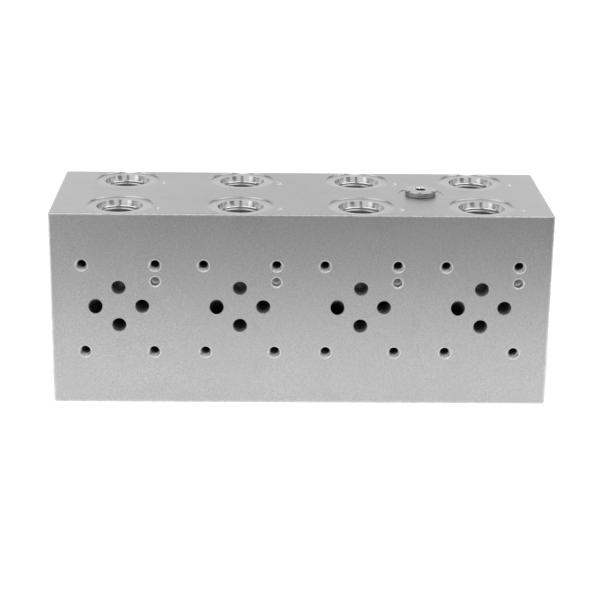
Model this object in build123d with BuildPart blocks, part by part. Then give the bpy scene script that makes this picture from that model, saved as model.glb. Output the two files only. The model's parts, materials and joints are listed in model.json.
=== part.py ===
"""Hydraulic manifold block: four D03 valve stations on one bar of aluminium, with its gauge-port plug.

Millimetres. The valves bolt to the front face (-Y), the work ports A and B are on top (+Z), and the
pressure and tank galleries run lengthwise (X) between O-ring boss ports in both ends.
The origin is the middle of the bottom face.
"""
from build123d import *
import os
from math import cos, radians, tan
from typing import NamedTuple

INCH = 25.4

# The bar and its stations
station_count = 4
station_pitch = 2.125 * INCH
left_margin = 30.3                    # from the left-hand end face to the first station's centre
right_margin = 31.0                   # from the last station's centre to the right-hand end face
block_length = left_margin + (station_count - 1) * station_pitch + right_margin
block_depth = 2.9375 * INCH
block_height = 3.5 * INCH
edge_radius = 0.9                     # tumbled outer edges

# Valve pad, ISO 4401-03 (D03): points across and up from the lower left bolt
valve_height = 1.8125 * INCH          # the pad's centre above the bottom face
pad_centre = (15.5, 21.5)
pad_bolts = [(0, 0), (31.0, 0), (-0.75, 40.5), (31.75, 40.5)]
pad_pin = (31.75, 33.0)
pad_a = (15.5, 12.7)
pad_b = (15.5, 30.2)
pad_p = (25.9, 21.5)
pad_t = (5.1, 21.5)
pad_drill_radius = 0.25 * INCH / 2
bolt_radius = 0.190 * INCH / 2        # No. 10-24, to the outside of the thread
bolt_mouth_radius = 2.8
bolt_depth = 14.0
pin_radius = 2.0
pin_mouth_radius = 2.45
pin_depth = 4.0

# Drilling
point_angle = 118                     # drill points
run_in = 2.0                          # how far outside the face a tool's path starts

# Thread diameters, to the outside
work_thread = 0.75 * INCH             # 3/4-16
gallery_thread = 0.875 * INCH         # 7/8-14
gauge_thread = 0.4375 * INCH          # 7/16-20

# Work ports: B in the front row, A in the back row, each over a vertical passage
front_row = 0.59375 * INCH            # from the valve face
row_spacing = 1.75 * INCH
passage_radius = 0.4375 * INCH / 2
passage_overrun = 2.0                 # the passages end this far below the drillings they meet

# Pressure and tank galleries
gallery_radius = 0.6875 * INCH / 2
pressure_height = 53.2                # above the bottom face
pressure_from_face = 36.0             # behind the valve face
tank_height = 19.0
tank_from_face = 42.3
tank_drop = 27                        # degrees that the T drillings slope down, under the A drillings

# Gauge port, down to the pressure gallery
gauge_from_end = 56.7                 # from the right-hand end face
gauge_passage_radius = 0.25 * INCH / 2

# Foot holes in the back face, 3/8-16
foot_radius = 0.375 * INCH / 2
foot_mouth_radius = 5.2
foot_depth = 16.0
foot_inset = 0.5 * INCH               # from the ends, the bottom and the top

# Gauge-port plug, with a hollow hexagon
head_radius = 7.1
head_height = 2.9
head_chamfer = 0.45
socket_across_flats = 0.1875 * INCH
socket_depth = 4.6
socket_lead = 0.25                    # chamfer at the socket's mouth
neck_radius = 4.5
neck_length = 3.0
shank_length = 9.2
shank_chamfer = 0.9
thread_clearance = 0.05               # radial, between the plug and its port
seal_clearance = 0.02                 # round the squeezed O-ring
seal_height = 2.05
seal_corner = 0.5


class Port(NamedTuple):
    """An O-ring boss port, SAE J1926-1: its thread's outside, sealing cone and spotface."""

    thread_radius: float
    thread_depth: float
    mouth_radius: float
    cone_depth: float
    spotface_radius: float
    spotface_depth: float


seal_cone_angle = 12
work_port = Port(work_thread / 2, 16.0, 10.3, 2.54, 15.1, 0.6)           # SAE-8
gallery_port = Port(gallery_thread / 2, 18.0, 11.95, 2.54, 17.05, 0.6)   # SAE-10
gauge_port = Port(gauge_thread / 2, 12.0, 6.2, 2.36, 10.55, 0.3)         # SAE-4

# The worked faces, each plane looking out of the block
stations_x = (left_margin - right_margin) / 2    # middle of the row of stations
top_face = Plane.XY.offset(block_height)
valve_face = Plane(
    origin=(stations_x, -block_depth / 2, valve_height), x_dir=(1, 0, 0), z_dir=(0, -1, 0)
)
back_face = Plane(origin=(0, block_depth / 2, block_height / 2), x_dir=(-1, 0, 0), z_dir=(0, 1, 0))
right_end = Plane(origin=(block_length / 2, 0, 0), x_dir=(0, 1, 0), z_dir=(1, 0, 0))
left_end = Plane(origin=(-block_length / 2, 0, 0), x_dir=(0, -1, 0), z_dir=(-1, 0, 0))


def from_valve_face(distance):
    """Y of a place behind the valve face."""
    return distance - block_depth / 2


def on_pad(point):
    """A point of the valve pad, from the pad's centre."""
    return (point[0] - pad_centre[0], point[1] - pad_centre[1])


def point_height(radius):
    """Height of a drill's point."""
    return radius / tan(radians(point_angle / 2))


def throat_radius(port):
    """Radius of a port's sealing cone at its bottom."""
    return port.mouth_radius - port.cone_depth * tan(radians(seal_cone_angle))


def tool_path(*outline):
    """What a turning tool removes below a face at Z = 0: (radius, height) points down its side."""
    with BuildPart() as path:
        with BuildSketch(Plane.XZ):
            with BuildLine():
                Polyline((0, run_in), (outline[0][0], run_in), *outline, close=True)
            make_face()
        revolve(axis=Axis.Z)
    return path.part


def drilled(radius, depth):
    """A drilled hole with its pointed bottom."""
    return tool_path((radius, -depth), (0, -depth - point_height(radius)))


def chamfered(radius, depth, mouth_radius):
    """A drilled or tapped hole with a chamfered mouth."""
    return tool_path(
        (mouth_radius, 0), (radius, radius - mouth_radius),
        (radius, -depth), (0, -depth - point_height(radius)),
    )


def ported(port, bore_radius, bore_depth):
    """An O-ring boss port, and the narrower bore that runs on below it to a depth under the face."""
    floor = -port.spotface_depth
    throat = throat_radius(port)
    cone_end = floor - port.cone_depth
    thread_end = floor - port.thread_depth
    shoulder_height = point_height(port.thread_radius) - point_height(bore_radius)
    return tool_path(
        (port.spotface_radius, floor), (port.mouth_radius, floor), (throat, cone_end),
        (port.thread_radius, cone_end - (throat - port.thread_radius)),
        (port.thread_radius, thread_end), (bore_radius, thread_end - shoulder_height),
        (bore_radius, -bore_depth), (0, -bore_depth - point_height(bore_radius)),
    )


# Manifold body: the bar, its outer edges broken, then every hole in it
a_height = valve_height + on_pad(pad_a)[1]
b_height = valve_height + on_pad(pad_b)[1]
front_row_y = from_valve_face(front_row)
back_row_y = front_row_y + row_spacing
pressure_y = from_valve_face(pressure_from_face)
tank_y = from_valve_face(tank_from_face)
gauge_x = block_length / 2 - gauge_from_end

a_port = ported(work_port, passage_radius, block_height - a_height + passage_overrun)
b_port = ported(work_port, passage_radius, block_height - b_height + passage_overrun)
gallery_end = ported(gallery_port, gallery_radius, block_length / 2 + run_in)
gauge_hole = ported(gauge_port, gauge_passage_radius, block_height - pressure_height)
a_drilling = drilled(pad_drill_radius, front_row + row_spacing)
b_drilling = drilled(pad_drill_radius, front_row)
p_drilling = drilled(pad_drill_radius, pressure_from_face)
t_drilling = drilled(pad_drill_radius, tank_from_face / cos(radians(tank_drop)))
t_slope = Location((0, 0, 0), (-tank_drop, 0, 0))
bolt_hole = chamfered(bolt_radius, bolt_depth, bolt_mouth_radius)
pin_hole = chamfered(pin_radius, pin_depth, pin_mouth_radius)
foot_hole = chamfered(foot_radius, foot_depth, foot_mouth_radius)

with BuildPart() as manifold_body:
    Box(block_length, block_depth, block_height, align=(Align.CENTER, Align.CENTER, Align.MIN))
    fillet(manifold_body.edges(), edge_radius)

    with Locations(valve_face):
        with GridLocations(station_pitch, 0, station_count, 1):
            with Locations(*[on_pad(bolt) for bolt in pad_bolts]):
                add(bolt_hole, mode=Mode.SUBTRACT)
            with Locations(on_pad(pad_pin)):
                add(pin_hole, mode=Mode.SUBTRACT)
            with Locations(on_pad(pad_a)):
                add(a_drilling, mode=Mode.SUBTRACT)
            with Locations(on_pad(pad_b)):
                add(b_drilling, mode=Mode.SUBTRACT)
            with Locations(on_pad(pad_p)):
                add(p_drilling, mode=Mode.SUBTRACT)
            with Locations(on_pad(pad_t)):
                with Locations(t_slope):
                    add(t_drilling, mode=Mode.SUBTRACT)

    with Locations(top_face):
        with Locations((stations_x, front_row_y)):
            with GridLocations(station_pitch, 0, station_count, 1):
                add(b_port, mode=Mode.SUBTRACT)
        with Locations((stations_x, back_row_y)):
            with GridLocations(station_pitch, 0, station_count, 1):
                add(a_port, mode=Mode.SUBTRACT)
        with Locations((gauge_x, pressure_y)):
            add(gauge_hole, mode=Mode.SUBTRACT)

    for end, side in ((right_end, 1), (left_end, -1)):
        with Locations(end):
            with Locations((side * pressure_y, pressure_height), (side * tank_y, tank_height)):
                add(gallery_end, mode=Mode.SUBTRACT)

    with Locations(back_face):
        with GridLocations(block_length - 2 * foot_inset, block_height - 2 * foot_inset, 2, 2):
            add(foot_hole, mode=Mode.SUBTRACT)

manifold_body.part.label = "manifold_body"

# Gauge-port plug: head on the port's spotface, neck through the seal, thread below
plug_seat = Plane(origin=(gauge_x, pressure_y, block_height - gauge_port.spotface_depth))
plug_thread_radius = gauge_port.thread_radius - thread_clearance

with BuildPart() as gauge_port_plug:
    with BuildSketch(Plane(plug_seat.origin, x_dir=(1, 0, 0), z_dir=(0, -1, 0))):
        with BuildLine():
            Polyline(
                (0, head_height), (head_radius - head_chamfer, head_height),
                (head_radius, head_height - head_chamfer), (head_radius, head_chamfer),
                (head_radius - head_chamfer, 0), (neck_radius, 0), (neck_radius, -neck_length),
                (plug_thread_radius, -neck_length - (plug_thread_radius - neck_radius)),
                (plug_thread_radius, shank_chamfer - shank_length),
                (plug_thread_radius - shank_chamfer, -shank_length), (0, -shank_length),
                close=True,
            )
        make_face()
    revolve(axis=Axis(plug_seat.origin, (0, 0, 1)))
    with BuildSketch(plug_seat.offset(head_height)):
        RegularPolygon(socket_across_flats / 2, 6, major_radius=False)
    extrude(amount=-socket_depth, mode=Mode.SUBTRACT)
    with BuildSketch(plug_seat.offset(head_height)):
        Circle(socket_across_flats / 2 + 2 * socket_lead)
    extrude(amount=-2 * socket_lead, taper=45, mode=Mode.SUBTRACT)

gauge_port_plug.part.label = "gauge_port_plug"

# Gauge-port seal: an O-ring squeezed between the plug's neck, its head and the port's cone
seal_inner = neck_radius + seal_clearance


def seal_outer(depth):
    """Radius of the seal's outside at a depth under the plug's head."""
    return gauge_port.mouth_radius - depth * tan(radians(seal_cone_angle)) - seal_clearance


seal_bottom = seal_clearance + seal_height

with BuildPart() as gauge_port_seal:
    with BuildSketch(Plane(plug_seat.origin, x_dir=(1, 0, 0), z_dir=(0, -1, 0))) as section:
        with BuildLine():
            Polyline(
                (seal_inner, -seal_clearance), (seal_outer(seal_clearance), -seal_clearance),
                (seal_outer(seal_bottom), -seal_bottom), (seal_inner, -seal_bottom),
                close=True,
            )
        make_face()
        chamfer(section.vertices().group_by(Axis.Y)[0], seal_corner)
    revolve(axis=Axis(plug_seat.origin, (0, 0, 1)))

gauge_port_seal.part.label = "gauge_port_seal"

os.makedirs("parts", exist_ok=True)
export_step(manifold_body.part, "parts/manifold_body.step")
export_step(gauge_port_plug.part, "parts/gauge_port_plug.step")
export_step(gauge_port_seal.part, "parts/gauge_port_seal.step")
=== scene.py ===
"""Looks of a hydraulic manifold block.

Tumbled aluminium, machined ports with their threads, and a zinc-plated plug.
"""

import json
from math import ceil, cos, pi, radians, sin

import bmesh
import bpy
from mathutils import Matrix, Vector


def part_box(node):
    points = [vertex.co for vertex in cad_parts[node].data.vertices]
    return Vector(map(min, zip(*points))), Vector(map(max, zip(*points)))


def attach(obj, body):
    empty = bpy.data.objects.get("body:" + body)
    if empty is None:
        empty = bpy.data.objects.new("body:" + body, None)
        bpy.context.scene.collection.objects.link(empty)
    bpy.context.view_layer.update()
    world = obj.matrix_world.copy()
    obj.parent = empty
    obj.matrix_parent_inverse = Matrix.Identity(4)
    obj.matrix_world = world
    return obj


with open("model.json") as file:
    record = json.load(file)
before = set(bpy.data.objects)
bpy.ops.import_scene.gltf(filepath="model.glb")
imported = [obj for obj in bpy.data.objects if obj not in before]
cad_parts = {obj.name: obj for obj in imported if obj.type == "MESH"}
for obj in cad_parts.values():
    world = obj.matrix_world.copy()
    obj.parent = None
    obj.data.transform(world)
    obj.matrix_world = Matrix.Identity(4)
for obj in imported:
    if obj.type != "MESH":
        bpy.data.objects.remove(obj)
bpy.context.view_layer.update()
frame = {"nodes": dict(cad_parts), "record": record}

MM = 0.001
INCH = 25.4 * MM
X, Y, Z = range(3)

# Which faces of the body are which
FLAT = 0.99                           # a direction this much along an axis counts as along it
ON_FACE = 0.002 * MM                  # faces this close to the block's box are outer faces
SKIN = 0.95 * MM                      # the edges' rounding and the spotfaces lie within this
RIM_DEPTH = 0.55 * MM                 # walls of the top face's spotfaces
RIM_BELOW_TOP = 2 * MM
CONE_RING = (1.004, 1.3)              # a port's cone, in radii of its thread
GAUGE_RADIUS = 5.5 * MM               # the gauge port's thread, just inside
GAUGE_SEAT_RADIUS = 12.5 * MM         # the seat round the plug is tumbled like the outside
MOUTH_DEPTH = 4.2 * MM                # countersinks of the front face's small holes
MOUTH_RADIUS = 2.9 * MM
SOCKET_REACH = 3.6 * MM               # the plug's key socket lies within this of its axis

# Burnished rings round the small holes, which are also painted lighter as highlights
LIP_RADIUS = 3.0 * MM
PIN_LIP_LESS = 0.3 * MM               # how much smaller the pin holes' rings are
LIP_SOFTNESS = 0.1 * MM
LIP_DEPTH = (1 * MM, 1.5 * MM)        # the rings fade out between these depths

# Finishes
RIM_ROUNDING = 1.3 * MM               # the spotfaces' rims look rounder than the other edges,
RIM_POLISH = 0.12                     # smoother
RIM_HIGHLIGHT_LIFT = 1.3                        # and lighter, as a painted highlight
TOOL_MARKS = 0.2 * MM                 # between the rings that a turning tool leaves
WORN_SKIN = (1 * MM, 0.5 * MM)        # the worn ends of the top face set in between these depths
BEVEL_SAMPLES = 6

# Threads
WORK_PITCH, GALLERY_PITCH = INCH / 16, INCH / 14
BOLT_PITCH, FOOT_PITCH = INCH / 24, INCH / 16
PORT_STEPS, BOLT_STEPS, FOOT_STEPS = 64, 32, 40   # facets to the turn
THREAD_CUT = 0.541                    # depth of a thread, in pitches
BOLT_THREAD_CUT = 0.38
CREST_HALF, ROOT_HALF = 1 / 8, 7 / 16     # half widths of a ridge, in pitches
ROOT_SUNK = 0.05 * MM                 # how far the ridges' roots lie in the wall
FADE_TURNS = 0.6                      # a ridge rises and ends over this
PORT_THREAD_LESS = 1.6 * MM           # how much shorter the ridges are than the ports' threads
BOLT_THREAD_START, BOLT_THREAD_LENGTH = 0.25 * MM, 12 * MM
FOOT_THREAD_START, FOOT_THREAD_LENGTH = 0.45 * MM, 13.5 * MM
SMOOTH_BELOW = 35                     # degrees
PORT_DARK_AT, SMALL_DARK_AT = 16 * MM, 5 * MM     # threads are painted dark from here down, as shade deep in the holes

# Figures on the top face
FIGURE_HEIGHT = 4.0 * MM
FIGURE_SHARE = 0.7                    # a figure's height, in font sizes
FIGURE_RAISE = 0.03 * MM
FIGURE_BOLDNESS = 0.08 * MM
FIGURE_LIFT = 0.01 * MM
FIGURE_OFFSET = (17.6 * MM, -8 * MM)  # from the port's centre

# Floor and card, room and camera
FLOOR_REACH = 3
FLOOR_GAP = 0.02 * MM
FLOOR_GLOW = 0.50
FLAG_EDGES = (-0.23, 0.55, -2.8)      # left, right and front, in metres
FLAG_GAP = 0.17                       # between the card and the front face
FLAG_HEIGHT = 0.4 * MM
FLAG_SHADE = 0.04
ROOM_LEVEL = 0.16
SENSOR_WIDTH, LENS = 36, 100.8        # mm
CAMERA_PLACE = (-16.04, -747.59, 288.25)                            # mm
CAMERA_YAW, CAMERA_ELEVATION, CAMERA_ROLL = 1.2475, 18.5798, 0.752  # degrees

# Light panels. Azimuth 0 is behind the camera, 90 on the right; lengths are in metres.
PANELS = (
    # name, azimuth, height, distance, width, tall, level
    ("back_wall", 180, 0.6, 1.5, 3.2, 1.5, 0.80),
    ("overhead_left", -80, 0.95, 0.48, 0.88, 0.74, 1.25),
    ("overhead_right", 80, 0.95, 0.48, 0.88, 0.74, 1.25),
    ("high_left", -84, 0.66, 1.0, 0.9, 0.6, 0.75),
    ("high_right", 84, 0.66, 1.0, 0.9, 0.6, 0.65),
    ("overhead_front", -12, 0.95, 1.05, 1.8, 0.9, 0.9),
    ("side_left", -80, 0.28, 1.2, 0.76, 0.56, 0.24),
    ("side_right", 92, 0.28, 1.2, 0.60, 0.56, 0.22),
    ("softbox_left", -49, 0.28, 1.2, 0.46, 0.56, 0.90),
    ("softbox_right", 64, 0.28, 1.2, 0.34, 0.56, 0.55),
    ("room_left", -22, 0.36, 1.6, 0.86, 0.5, 0.52),
    ("room_right", 19.5, 0.36, 1.6, 0.80, 0.5, 0.47),
)

# What the frame holds
scene = bpy.context.scene
body = frame["nodes"]["manifold_body"]
mounts = {mount["name"]: mount for mount in frame["record"]["mounts"]}
low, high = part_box("manifold_body")
size = high - low
stations = sorted(
    mount["pos_m"][0] for name, mount in mounts.items() if name.startswith("work_port_b")
)
station_pitch = stations[1] - stations[0]
plug_low, plug_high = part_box("gauge_port_plug")
plug_axis = (plug_low + plug_high) / 2


# ---------------------------------------------------------------- node helpers


class Nodes:
    """A material's node tree, with short calls for what the finishes below need."""

    def __init__(self, name):
        self.material = bpy.data.materials.new(name)
        self.material.use_nodes = True
        self.tree = self.material.node_tree
        self.shader = self.tree.nodes["Principled BSDF"]
        self.place = self.new("ShaderNodeNewGeometry").outputs["Position"]

    def new(self, kind, **values):
        node = self.tree.nodes.new(kind)
        for key, value in values.items():
            setattr(node, key, value)
        return node

    def feed(self, socket, value):
        """Links `value` to a socket, or sets it there if it is a plain value."""
        if isinstance(value, bpy.types.NodeSocket):
            self.tree.links.new(value, socket)
        else:
            socket.default_value = value

    def math(self, operation, *values):
        node = self.new("ShaderNodeMath", operation=operation)
        for socket, value in zip(node.inputs, values):
            self.feed(socket, value)
        return node.outputs[0]

    def vector(self, operation, *values):
        node = self.new("ShaderNodeVectorMath", operation=operation)
        for socket, value in zip(node.inputs, values):
            self.feed(socket, value)
        return node.outputs["Value" if operation == "LENGTH" else "Vector"]

    def parts(self, vector):
        """The x, y and z of a vector."""
        node = self.new("ShaderNodeSeparateXYZ")
        self.feed(node.inputs[0], vector)
        return node.outputs

    def wrap(self, vector, period):
        """The vector, repeating with `period` and with its zero in the middle of each repeat."""
        return self.vector("WRAP", vector, Vector(period) / 2, Vector(period) / -2)

    def noise(self, blob, detail=2.0, roughness=0.5):
        """Noise whose blobs are about `blob` metres across, from 0 to 1."""
        node = self.new("ShaderNodeTexNoise")
        node.inputs["Scale"].default_value = 1 / blob
        node.inputs["Detail"].default_value = detail
        node.inputs["Roughness"].default_value = roughness
        self.feed(node.inputs["Vector"], self.place)
        return node.outputs["Fac"]

    def spread(self, value, to_low, to_high, from_low=0.0, from_high=1.0):
        """`value` between two limits, laid out between two others."""
        node = self.new("ShaderNodeMapRange")
        for name, number in (
            ("From Min", from_low), ("From Max", from_high), ("To Min", to_low), ("To Max", to_high)
        ):
            node.inputs[name].default_value = number
        self.feed(node.inputs["Value"], value)
        return node.outputs["Result"]

    def mix(self, share, one, other):
        """The colour `one`, with `share` of `other`."""
        node = self.new("ShaderNodeMix", data_type="RGBA")
        self.feed(node.inputs["Factor"], share)
        self.feed(node.inputs[6], one)
        self.feed(node.inputs[7], other)
        return node.outputs[2]

    def bump(self, height, distance, strength=1.0, before=None):
        node = self.new("ShaderNodeBump")
        node.inputs["Strength"].default_value = strength
        node.inputs["Distance"].default_value = distance
        self.feed(node.inputs["Height"], height)
        if before is not None:
            self.feed(node.inputs["Normal"], before)
        return node.outputs["Normal"]

    def rounded(self, radius):
        """The surface's direction, with every edge rounded off by `radius` metres."""
        node = self.new("ShaderNodeBevel", samples=BEVEL_SAMPLES)
        node.inputs["Radius"].default_value = radius
        return node.outputs["Normal"]

    def inside(self):
        """How far inside the faces of the block's box a place is, along x, y and z."""
        away = self.vector("ABSOLUTE", self.vector("SUBTRACT", self.place, (low + high) / 2))
        return self.parts(self.vector("SUBTRACT", size / 2, away))

    def depth(self, start, end):
        """0 down to `start` metres inside the block, and 1 from `end` metres."""
        x, y, z = self.inside()
        return self.spread(self.math("MINIMUM", self.math("MINIMUM", x, y), z), 0, 1, start, end)

    def edge_nearness(self, reach):
        """1 on the block's edges, falling to 0 at `reach` metres from them."""
        x, y, z = self.inside()
        upper = self.math("MINIMUM", self.math("MAXIMUM", x, y), z)
        second = self.math("MAXIMUM", self.math("MINIMUM", x, y), upper)
        return self.spread(second, 1, 0, 0, reach)

    def set(self, **values):
        """Feeds the shader's inputs, named in lower case with underscores."""
        for name, value in values.items():
            self.feed(self.shader.inputs[name.replace("_", " ").title()], value)


def grey(level, warmth=0.0):
    return (level * (1 + warmth), level, level * (1 - warmth), 1.0)


# ---------------------------------------------------------------- finishes


def mouth_lips(n):
    """1 on a thin ring round each small hole of the front face, burnished and painted as a
    highlight, and 0 elsewhere.
    """
    first = Vector((stations[0], 0, 0))
    pin = Vector(mounts["valve_pin_1"]["pos_m"]).xz
    away = n.wrap(n.vector("SUBTRACT", n.place, first), (station_pitch, 2, 2))
    flat = n.vector("MULTIPLY", away, (1, 0, 1))
    nearest = None
    for spot in front_holes():
        if abs(spot[0] - first.x) > station_pitch / 2:
            continue
        centre = Vector((spot[0] - first.x, 0, spot[1]))
        ring = n.vector("LENGTH", n.vector("SUBTRACT", flat, centre))
        if (spot - pin).length < MM:
            ring = n.math("ADD", ring, PIN_LIP_LESS)
        nearest = ring if nearest is None else n.math("MINIMUM", nearest, ring)
    y = n.parts(n.place)[Y]
    near_face = n.spread(y, 1, 0, low.y + LIP_DEPTH[0], low.y + LIP_DEPTH[1])
    lips = n.spread(nearest, 1, 0, LIP_RADIUS - LIP_SOFTNESS, LIP_RADIUS + LIP_SOFTNESS)
    return n.math("MULTIPLY", near_face, lips)


def worn_ends(n):
    """On the top face, 0 in the middle and 1 at both ends, where the block is handled most."""
    place = n.parts(n.place)
    out = n.math("MULTIPLY", n.math("ABSOLUTE", place[X]), 2 / size.x)
    on_top = n.spread(place[Z], 0, 1, high.z - WORN_SKIN[0], high.z - WORN_SKIN[1])
    return n.math("MULTIPLY", n.math("MULTIPLY", out, out), on_top)


def tumbled_aluminium(name="tumbled_aluminium", rounding=0.3 * MM, polish=0.0, lift=1.0):
    """The outside: a fine matte grain with faint clouds, handling marks, and edges rubbed smooth
    and painted bright as a highlight.

    `rounding` is the edges' radius, `polish` comes off the roughness, and `lift` makes it lighter,
    as a painted highlight.
    """
    n = Nodes(name)
    clouds = n.noise(26 * MM, 3, 0.55)
    mottle = n.noise(0.52 * MM, 3, 0.7)
    grain = n.noise(0.45 * MM, 2, 0.6)
    smudges = n.spread(n.noise(7 * MM, 4, 0.62), 0, 1, 0.56, 0.74)
    patches = n.spread(n.noise(2.2 * MM, 3), 0.45, 1, 0.4, 0.6)
    edges = n.math("MULTIPLY", n.edge_nearness(1.2 * MM), patches)
    rubbed_and_highlit = n.math("MAXIMUM", mouth_lips(n), edges)
    cloudy = n.math("MULTIPLY", n.spread(clouds, 0, 1, 0.35, 0.65), 0.35)
    colour = n.mix(n.spread(mottle, 0, 1, 0.3, 0.7), grey(0.42 * lift), grey(0.66 * lift))
    colour = n.mix(cloudy, colour, grey(0.525 * lift))
    colour = n.mix(n.math("MULTIPLY", smudges, 0.16), colour, grey(0.43 * lift))
    # Painted highlight: the edges and the rings round the small holes are painted lighter; they are
    # also rubbed smoother below
    colour = n.mix(n.math("MULTIPLY", rubbed_and_highlit, 0.85), colour, grey(0.90))
    colour = n.mix(n.math("MULTIPLY", worn_ends(n), 0.6), colour, grey(0.64 * lift))
    rough = n.math("ADD", n.spread(clouds, 0.40, 0.47), n.math("MULTIPLY", smudges, 0.05))
    smoother = n.math("ADD", n.math("MULTIPLY", rubbed_and_highlit, 0.08), polish)
    n.set(
        base_color=colour,
        metallic=1.0,
        roughness=n.math("SUBTRACT", rough, smoother),
        normal=n.bump(grain, 0.03 * MM, 0.5, n.bump(mottle, 0.04 * MM, 0.4, n.rounded(rounding))),
    )
    return n.material


def spotfaced_aluminium():
    """The seats that a cutter leaves round the ports: finer and lighter than the outside."""
    n = Nodes("spotfaced_aluminium")
    mottle = n.noise(1.1 * MM, 3, 0.65)
    n.set(
        base_color=n.mix(n.spread(mottle, 0, 1, 0.3, 0.7), grey(0.545), grey(0.625)),
        metallic=1.0,
        roughness=n.spread(n.noise(9 * MM, 2), 0.33, 0.40),
        normal=n.bump(n.noise(0.3 * MM, 2), 0.04 * MM, 0.35, n.rounded(0.25 * MM)),
    )
    return n.material


def turned_aluminium(name, centre, axis, period=None):
    """A cone cut by a turning tool: bright, with fine rings round the port's axis.

    `period` is how far apart the ports are that share the finish.
    """
    n = Nodes(name)
    away = n.vector("SUBTRACT", n.place, centre)
    if period:
        away = n.wrap(away, period)
    across = n.vector("MULTIPLY", away, tuple(0 if i == axis else 1 for i in range(3)))
    ring = n.vector("LENGTH", across)
    marks = n.new("ShaderNodeTexNoise", noise_dimensions="1D")
    marks.inputs["Scale"].default_value = 1 / TOOL_MARKS
    marks.inputs["Detail"].default_value = 2
    n.feed(marks.inputs["W"], n.math("ADD", ring, n.parts(n.place)[axis]))
    n.set(
        base_color=grey(0.82),
        metallic=1.0,
        roughness=n.spread(n.noise(3 * MM, 2), 0.15, 0.20),
        normal=n.bump(marks.outputs["Fac"], 0.0015 * MM, 0.8),
    )
    return n.material


def drilled_aluminium():
    """The walls of drillings: duller and uneven, and painted darker with depth as shade in the
    holes.
    """
    n = Nodes("drilled_aluminium")
    scuffs = n.noise(1.2 * MM, 3, 0.6)
    n.set(
        # Painted shade: light at the mouth, darker with depth, where little light reaches
        base_color=n.mix(n.depth(0.2 * MM, 6 * MM), grey(0.85), grey(0.28)),
        metallic=0.8,
        roughness=n.spread(scuffs, 0.45, 0.6),
        normal=n.bump(n.noise(0.4 * MM, 2), 0.05 * MM, 0.5, n.rounded(0.3 * MM)),
    )
    return n.material


def countersunk_aluminium():
    """The small holes' mouths and the pin holes, cut bright."""
    n = Nodes("countersunk_aluminium")
    n.set(
        base_color=grey(0.80),
        metallic=0.9,
        roughness=n.spread(n.noise(0.8 * MM, 2), 0.30, 0.45),
        normal=n.bump(n.noise(0.35 * MM, 2), 0.05 * MM, 0.6, n.rounded(0.25 * MM)),
    )
    return n.material


def thread_aluminium(name, dark_at):
    """The flanks of tapped threads, cut bright, and painted dark from `dark_at` metres down as
    shade in the hole.
    """
    n = Nodes(name)
    n.set(
        # Painted shade: the colour darkens with depth, where little light reaches
        base_color=n.mix(n.depth(1.0 * MM, dark_at), grey(0.66), grey(0.12)),
        metallic=1.0,
        roughness=n.spread(n.noise(0.8 * MM, 2), 0.26, 0.38),
        normal=n.bump(n.noise(0.25 * MM, 1), 0.02 * MM, 0.4),
    )
    return n.material


def zinc_plate():
    """The plug: zinc over steel, slightly warm, with faint cloudy stains."""
    n = Nodes("zinc_plate")
    stains = n.noise(2.5 * MM, 3, 0.6)
    clean, stained = grey(0.54, 0.01), (0.42, 0.415, 0.385, 1.0)
    n.set(
        base_color=n.mix(n.spread(stains, 0, 1, 0.35, 0.65), clean, stained),
        metallic=1.0,
        roughness=n.spread(stains, 0.18, 0.28),
        normal=n.bump(n.noise(0.3 * MM, 2), 0.03 * MM, 0.4, n.rounded(0.25 * MM)),
    )
    return n.material


def broached_socket():
    """The plug's key socket: its walls and lead-in are cut bright."""
    n = Nodes("broached_socket")
    n.set(
        base_color=grey(0.85),
        metallic=1.0,
        roughness=n.spread(n.noise(0.8 * MM, 2), 0.10, 0.18),
        normal=n.bump(n.noise(0.5 * MM, 1), 0.01 * MM, 0.5),
    )
    return n.material


def nitrile_rubber():
    """The plug's O-ring: matt black."""
    n = Nodes("nitrile_rubber")
    n.set(
        base_color=grey(0.02),
        roughness=n.spread(n.noise(1.0 * MM, 2), 0.5, 0.65),
        normal=n.bump(n.noise(0.2 * MM, 2), 0.02 * MM, 0.4),
    )
    return n.material


def stamped_figure():
    """Metal bruised by the marking tool, bright in places and dull in others."""
    n = Nodes("stamped_figure")
    n.set(
        base_color=n.mix(n.spread(n.noise(0.9 * MM, 2), 0, 1, 0.4, 0.6), grey(0.72), grey(0.98)),
        metallic=1.0,
        roughness=n.spread(n.noise(0.5 * MM, 1), 0.30, 0.5),
        normal=n.bump(n.noise(0.3 * MM, 2), 0.05 * MM, 0.6),
    )
    return n.material


# ---------------------------------------------------------------- the CAD nodes' own surfaces


def port_axes():
    """Each turned port: its finish, a point on its axis, the axis, and its thread's radius."""
    found = []
    for name, mount in mounts.items():
        if mount["kind"] == "threaded_hole":
            use = name.split("_port_")[0]
            point, axis = Vector(mount["pos_m"]), Vector(mount["axis"])
            found.append((use, point, axis, mount["dims"]["r_mm"] * MM))
    found.append(("gauge", plug_axis, Vector((0, 0, 1)), GAUGE_RADIUS))
    return found


def bolt_holes():
    """The valve bolts' holes in the front face, as points, with the mount that each is of."""
    for name, mount in mounts.items():
        if name.startswith("valve_bolts"):
            half = Vector((mount["dims"]["spacing_x_mm"] * MM / 2, 0, 0))
            for side in (-1, 1):
                yield Vector(mount["pos_m"]) + side * half, mount


def front_holes():
    """The bolts' and locating pins' holes in the front face, as points across and up."""
    pins = [mount for name, mount in mounts.items() if name.startswith("valve_pin")]
    return [point.xz for point, _ in bolt_holes()] + [Vector(pin["pos_m"]).xz for pin in pins]


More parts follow.
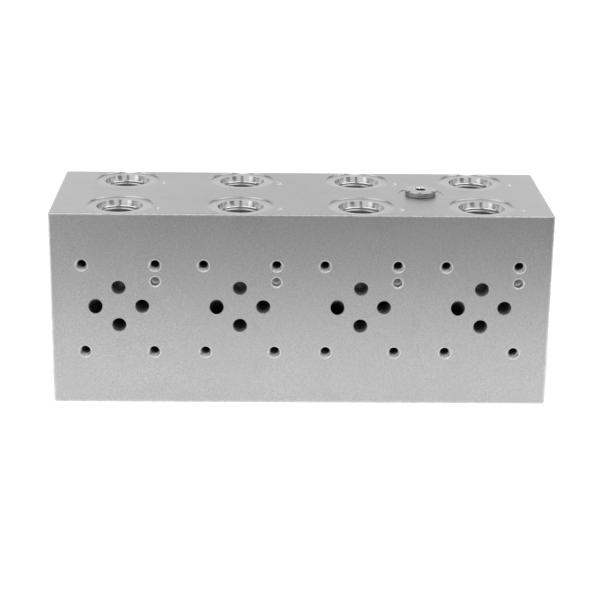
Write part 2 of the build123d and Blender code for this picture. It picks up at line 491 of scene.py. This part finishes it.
def body_finishes():
    """The body's finishes by name, in the order of its material slots."""
    work = mounts["work_port_b1"]["pos_m"]
    row_spacing = mounts["work_port_a1"]["pos_m"][1] - work[1]
    pressure = mounts["pressure_port_left"]["pos_m"]
    tank = mounts["tank_port_left"]["pos_m"]
    spacing = (station_pitch, row_spacing, 0)
    return {
        "tumbled": tumbled_aluminium(),
        "drilled": drilled_aluminium(),
        "work": turned_aluminium("turned_work_ports", (*work[:2], 0), Z, spacing),
        "gauge": turned_aluminium("turned_gauge_port", (*plug_axis.xy, 0), Z),
        "pressure": turned_aluminium("turned_pressure_ports", (0, *pressure[1:]), X),
        "tank": turned_aluminium("turned_tank_ports", (0, *tank[1:]), X),
        "spotfaced": spotfaced_aluminium(),
        "countersunk": countersunk_aluminium(),
        # The spotfaces' rims: rounder, smoother, and painted lighter as a highlight
        "rim": tumbled_aluminium("tumbled_rim_highlight", RIM_ROUNDING, RIM_POLISH, RIM_HIGHLIGHT_LIFT),
    }


def finish_of(face, ports, small):
    """The name of the finish that one face of the body has."""
    centre = face.center
    inside = [min(centre[i] - low[i], high[i] - centre[i]) for i in range(3)]
    nearest = min(inside)
    outer = any(inside[i] < ON_FACE and abs(face.normal[i]) > FLAT for i in range(3))
    if outer or sum(distance < SKIN for distance in inside) > 1:
        return "tumbled"
    # A flat face just under the outside is a seat, or a facet of a seat's wall
    if nearest < SKIN and max(abs(c) for c in face.normal) > FLAT:
        if (centre.xy - plug_axis.xy).length < GAUGE_SEAT_RADIUS:
            return "tumbled"
        return "spotfaced" if abs(face.normal[inside.index(nearest)]) > FLAT else "rim"
    finish = "drilled"
    if nearest < RIM_DEPTH and size.z - centre.z < RIM_BELOW_TOP:
        finish = "rim"
    for use, point, axis, radius in ports:
        away = centre - point
        along = away.dot(axis)
        ring = (away - along * axis).length
        if along > 0 and radius * CONE_RING[0] < ring < radius * CONE_RING[1]:
            finish = use
    if finish == "drilled" and nearest < MOUTH_DEPTH and centre.y - low.y < MOUTH_DEPTH:
        if any((centre.xz - spot).length < MOUTH_RADIUS for spot in small):
            finish = "countersunk"
    return finish


def dress_body():
    """Tumbled outside; turned cones, cut spotfaces and countersinks; drilled in all the rest."""
    mesh = body.data
    mesh.materials.clear()
    slots = {}
    for name, material in body_finishes().items():
        slots[name] = len(mesh.materials)
        mesh.materials.append(material)
    ports, small = port_axes(), front_holes()
    for face in mesh.polygons:
        face.material_index = slots[finish_of(face, ports, small)]


def dress_plug():
    """Zinc outside, bright cuts inside the socket."""
    mesh = frame["nodes"]["gauge_port_plug"].data
    mesh.materials[0] = zinc_plate()
    mesh.materials.append(broached_socket())
    for face in mesh.polygons:
        away = face.center - plug_axis
        inner = away.xy.length < SOCKET_REACH and away.z > 0
        face.material_index = 1 if inner and abs(face.normal.z) < FLAT else 0


# ---------------------------------------------------------------- threads


def thread_ridge(bm, hole, pitch, steps, cut):
    """One right-hand thread ridge down a hole, `steps` to the turn and `cut` pitches deep."""
    start, inward, radius, length = hole
    axis = inward.normalized()
    across = axis.orthogonal().normalized()
    up = axis.cross(across)
    depth = cut * pitch
    crest, root = pitch * CREST_HALF, pitch * ROOT_HALF
    outer = radius + ROOT_SUNK
    count = ceil(length / pitch * steps)
    fade = steps * FADE_TURNS
    rings = []
    for k in range(count + 1):
        angle = 2 * pi * k / steps
        out = across * cos(angle) + up * sin(angle)
        middle = start + axis * (pitch * (k / steps + 0.5))
        inner = radius - depth * min(1.0, k / fade, (count - k) / fade)
        profile = ((-root, outer), (-crest, inner), (crest, inner), (root, outer))
        rings.append([bm.verts.new(middle + axis * a + out * r) for a, r in profile])
    for one, other in zip(rings, rings[1:]):
        for i in range(3):
            bm.faces.new((one[i], other[i], other[i + 1], one[i + 1]))
        bm.faces.new((one[3], other[3], other[0], one[0]))
    bm.faces.new(rings[0])
    bm.faces.new(rings[-1][::-1])


def mesh_piece(name, bm, material, smooth=None):
    """A finished mesh as a piece of the object that rides on its body."""
    bmesh.ops.recalc_face_normals(bm, faces=bm.faces)
    mesh = bpy.data.meshes.new(name)
    bm.to_mesh(mesh)
    bm.free()
    piece = bpy.data.objects.new(name, mesh)
    scene.collection.objects.link(piece)
    mesh.materials.append(material)
    if smooth:
        mesh.shade_smooth()
        mesh.set_sharp_from_angle(angle=radians(smooth))
    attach(piece, "root")


def tapped_holes(name, holes, pitch, steps, material, cut=THREAD_CUT):
    """The threads of holes of one size. A hole is (mouth, inward axis, radius, length)."""
    bm = bmesh.new()
    for hole in holes:
        thread_ridge(bm, hole, pitch, steps, cut)
    mesh_piece(name, bm, material, smooth=SMOOTH_BELOW)


def port_threads(names):
    """The holes of ports that the record gives one by one."""
    holes = []
    for name in names:
        mount = mounts[name]
        axis = Vector(mount["axis"])
        length = mount["dims"]["length_mm"] * MM
        mouth = Vector(mount["pos_m"]) + axis * length / 2
        holes.append((mouth, -axis, mount["dims"]["r_mm"] * MM, length - PORT_THREAD_LESS))
    return holes


def bolt_threads():
    """The valve bolts' holes in the front face."""
    start = Vector((0, BOLT_THREAD_START, 0))
    inward = Vector((0, 1, 0))
    return [
        (point + start, inward, mount["dims"]["hole_r_mm"] * MM, BOLT_THREAD_LENGTH)
        for point, mount in bolt_holes()
    ]


def foot_threads():
    """The four foot holes in the back face."""
    mount = mounts["foot_holes"]
    dims = mount["dims"]
    half_x, half_z = dims["spacing_x_mm"] * MM / 2, dims["spacing_y_mm"] * MM / 2
    holes = []
    for side in (-1, 1):
        for end in (-1, 1):
            offset = Vector((side * half_x, -FOOT_THREAD_START, end * half_z))
            mouth = Vector(mount["pos_m"]) + offset
            radius = dims["hole_r_mm"] * MM
            holes.append((mouth, Vector((0, -1, 0)), radius, FOOT_THREAD_LENGTH))
    return holes


def all_threads():
    """The ridges of every tapped hole in the block, one piece for each row or kind of hole."""
    bright = thread_aluminium("thread_aluminium", PORT_DARK_AT)
    small = thread_aluminium("small_thread_aluminium", SMALL_DARK_AT)
    for letter in "ab":
        names = [f"work_port_{letter}{i}" for i in range(1, len(stations) + 1)]
        holes = port_threads(names)
        tapped_holes(f"work_port_threads_{letter}", holes, WORK_PITCH, PORT_STEPS, bright)
    names = [f"{use}_port_{side}" for use in ("pressure", "tank") for side in ("left", "right")]
    holes = port_threads(names)
    tapped_holes("gallery_port_threads", holes, GALLERY_PITCH, PORT_STEPS, bright)
    holes = bolt_threads()
    tapped_holes("valve_bolt_threads", holes, BOLT_PITCH, BOLT_STEPS, small, BOLT_THREAD_CUT)
    tapped_holes("foot_threads", foot_threads(), FOOT_PITCH, FOOT_STEPS, small)


# ---------------------------------------------------------------- figures


def station_figures():
    """A plain figure to the right of every work port, counting from the left."""
    bm = bmesh.new()
    for letter in "ab":
        for number in range(1, len(stations) + 1):
            x, y, _ = mounts[f"work_port_{letter}{number}"]["pos_m"]
            words = bpy.data.curves.new("figure", "FONT")
            words.body = str(number)
            words.size = FIGURE_HEIGHT / FIGURE_SHARE
            words.extrude = FIGURE_RAISE
            words.offset = FIGURE_BOLDNESS
            words.align_x = "CENTER"
            shape = bpy.data.objects.new("figure", words)
            mesh = bpy.data.meshes.new_from_object(shape)
            place = (x + FIGURE_OFFSET[0], y + FIGURE_OFFSET[1], high.z + FIGURE_LIFT)
            mesh.transform(Matrix.Translation(place))
            bm.from_mesh(mesh)
            bpy.data.objects.remove(shape)
            bpy.data.meshes.remove(mesh)
            bpy.data.curves.remove(words)
    mesh_piece("station_figures", bm, stamped_figure())


# ---------------------------------------------------------------- floor, light and camera


def seen_share(tree, level):
    """`level` for camera, glossy and transmission rays, and 0 for the rest."""
    path = tree.nodes.new("ShaderNodeLightPath")
    total = path.outputs["Is Camera Ray"]
    for name in ("Is Glossy Ray", "Is Transmission Ray"):
        larger = tree.nodes.new("ShaderNodeMath")
        larger.operation = "MAXIMUM"
        tree.links.new(total, larger.inputs[0])
        tree.links.new(path.outputs[name], larger.inputs[1])
        total = larger.outputs[0]
    scaled = tree.nodes.new("ShaderNodeMath")
    scaled.operation = "MULTIPLY"
    tree.links.new(total, scaled.inputs[0])
    scaled.inputs[1].default_value = level
    return scaled.outputs[0]


def matt_material(name, shade, specular):
    """A dull surface for what stands round the object. Gives the material and its shader."""
    material = bpy.data.materials.new(name)
    material.use_nodes = True
    shader = material.node_tree.nodes["Principled BSDF"]
    shader.inputs["Base Color"].default_value = grey(shade)
    shader.inputs["Roughness"].default_value = 0.9
    shader.inputs["Specular IOR Level"].default_value = specular
    return material, shader


def level_sheet(name, left, right, front, back, height, material):
    """A level rectangle that faces up. Its front is the edge nearest the camera."""
    bm = bmesh.new()
    corners = [(left, front), (right, front), (right, back), (left, back)]
    bm.faces.new([bm.verts.new((x, y, 0)) for x, y in corners])
    mesh = bpy.data.meshes.new(name)
    bm.to_mesh(mesh)
    bm.free()
    mesh.materials.append(material)
    sheet = bpy.data.objects.new(name, mesh)
    sheet.location = (0, 0, height)
    scene.collection.objects.link(sheet)
    return sheet


def make_floor():
    """A pale floor that glows to the camera, so that it is white, and keeps the shadow."""
    material, shader = matt_material("pale_floor", 0.85, 0.1)
    tree = material.node_tree
    glow = tree.nodes.new("ShaderNodeEmission")
    tree.links.new(seen_share(tree, FLOOR_GLOW), glow.inputs["Strength"])
    add = tree.nodes.new("ShaderNodeAddShader")
    tree.links.new(shader.outputs[0], add.inputs[0])
    tree.links.new(glow.outputs[0], add.inputs[1])
    tree.links.new(add.outputs[0], tree.nodes["Material Output"].inputs["Surface"])
    reach = FLOOR_REACH
    floor = level_sheet("floor", -reach, reach, -reach, reach, low.z - FLOOR_GAP, material)


def make_flag():
    """A black card, seen only in reflections, that darkens what the front face mirrors."""
    material, _ = matt_material("black_card", FLAG_SHADE, 0.0)
    left, right, front = FLAG_EDGES
    flag = level_sheet("flag", left, right, front, low.y - FLAG_GAP, FLAG_HEIGHT, material)
    flag.visible_camera = flag.visible_diffuse = flag.visible_shadow = False


def make_world():
    """White where the camera looks past the object, and a dim room for everything else."""
    world = bpy.data.worlds.new("studio")
    scene.world = world
    world.use_nodes = True
    tree = world.node_tree
    room = tree.nodes["Background"]
    white = tree.nodes.new("ShaderNodeBackground")
    for background, level in ((room, ROOM_LEVEL), (white, 1.0)):
        background.inputs["Color"].default_value = grey(1.0)
        background.inputs["Strength"].default_value = level
    path = tree.nodes.new("ShaderNodeLightPath")
    mixer = tree.nodes.new("ShaderNodeMixShader")
    tree.links.new(path.outputs["Is Camera Ray"], mixer.inputs[0])
    tree.links.new(room.outputs[0], mixer.inputs[1])
    tree.links.new(white.outputs[0], mixer.inputs[2])
    tree.links.new(mixer.outputs[0], tree.nodes["World Output"].inputs["Surface"])


def make_panel(name, azimuth, height, distance, width, tall, level):
    """A soft light panel that faces the object."""
    turn = radians(azimuth)
    light = bpy.data.lights.new(name, "AREA")
    light.shape = "RECTANGLE"
    light.size, light.size_y = width, tall
    light.energy = level * pi * width * tall
    lamp = bpy.data.objects.new(name, light)
    lamp.location = (distance * sin(turn), -distance * cos(turn), height)
    aim = Vector((0, 0, size.z / 2)) - lamp.location
    lamp.rotation_euler = aim.to_track_quat("-Z", "Y").to_euler()
    lamp.visible_camera = False
    scene.collection.objects.link(lamp)


def make_camera():
    """Seen a little from above, and almost square to the front face."""
    data = bpy.data.cameras.new("camera")
    data.sensor_width = SENSOR_WIDTH
    data.lens = LENS
    camera = bpy.data.objects.new("camera", data)
    scene.collection.objects.link(camera)
    camera.location = Vector(CAMERA_PLACE) * MM
    yaw, elevation, roll = radians(CAMERA_YAW), radians(CAMERA_ELEVATION), radians(CAMERA_ROLL)
    turn = Matrix.Rotation(-yaw, 3, "Z") @ Matrix.Rotation(pi / 2 - elevation, 3, "X")
    turn = turn @ Matrix.Rotation(roll, 3, "Z")
    camera.rotation_euler = turn.to_euler()
    scene.camera = camera


dress_body()
all_threads()
station_figures()
dress_plug()
frame["nodes"]["gauge_port_seal"].data.materials[0] = nitrile_rubber()
make_floor()
make_flag()
make_world()
for panel in PANELS:
    make_panel(*panel)
make_camera()

scene.view_settings.view_transform = "Standard"
